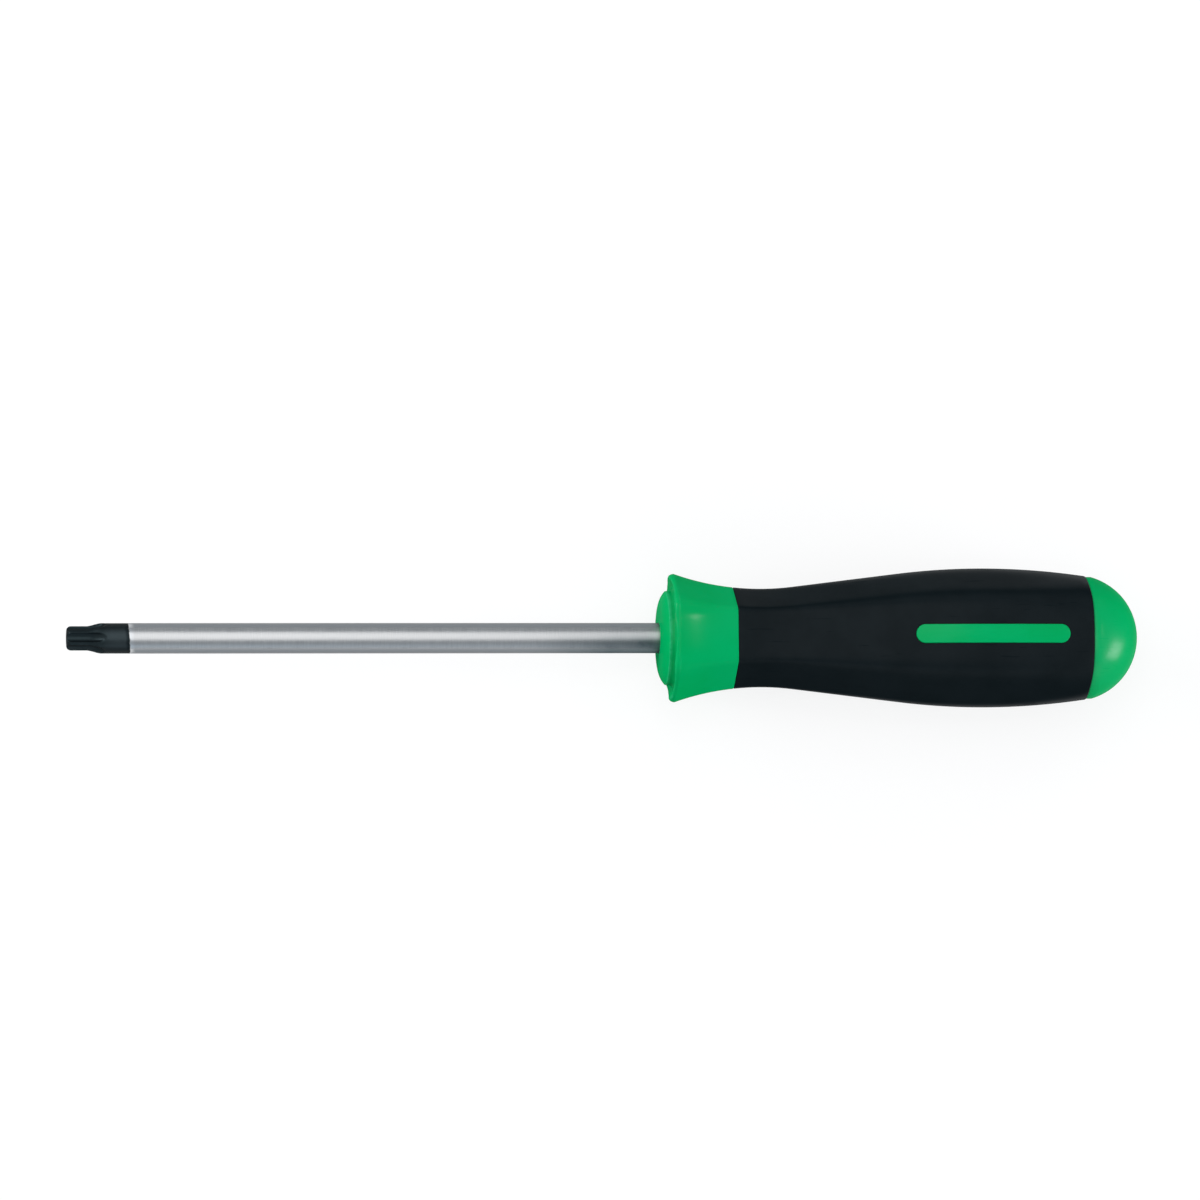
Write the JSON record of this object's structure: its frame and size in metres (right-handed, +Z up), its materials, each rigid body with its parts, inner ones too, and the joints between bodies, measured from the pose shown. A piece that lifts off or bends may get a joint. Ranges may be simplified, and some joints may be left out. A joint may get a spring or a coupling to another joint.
{
  "type": "security screwdriver",
  "caption": "Fixed-blade screwdriver with a six-lobe security tip, a round steel shank and a hexagonal soft-grip handle with a flared front collar and a domed end cap.",
  "frame": {"origin": "centre of the end face of the tip, on the axis of the blade, at the mouth of the pin hole", "axes": "+X along the blade from the tip to the handle; +Z up, through the middle of the handle flat that holds the inlay"},
  "size_m": [0.2492, 0.0324, 0.0296],
  "materials": {
    "blade_steel": "satin chrome shank with a black oxide tip",
    "core_plastic": "plain hard moulding, hidden",
    "green_plastic": "semi-gloss moulded",
    "grip_rubber": "matt soft-touch"
  },
  "bodies": {
    "root": {"blade": "blade_steel", "handle_core": "core_plastic", "front_collar": "green_plastic", "grip_sleeve": "grip_rubber", "end_cap": "green_plastic", "grip_inlay": "green_plastic"}
  },
  "joints": []
}
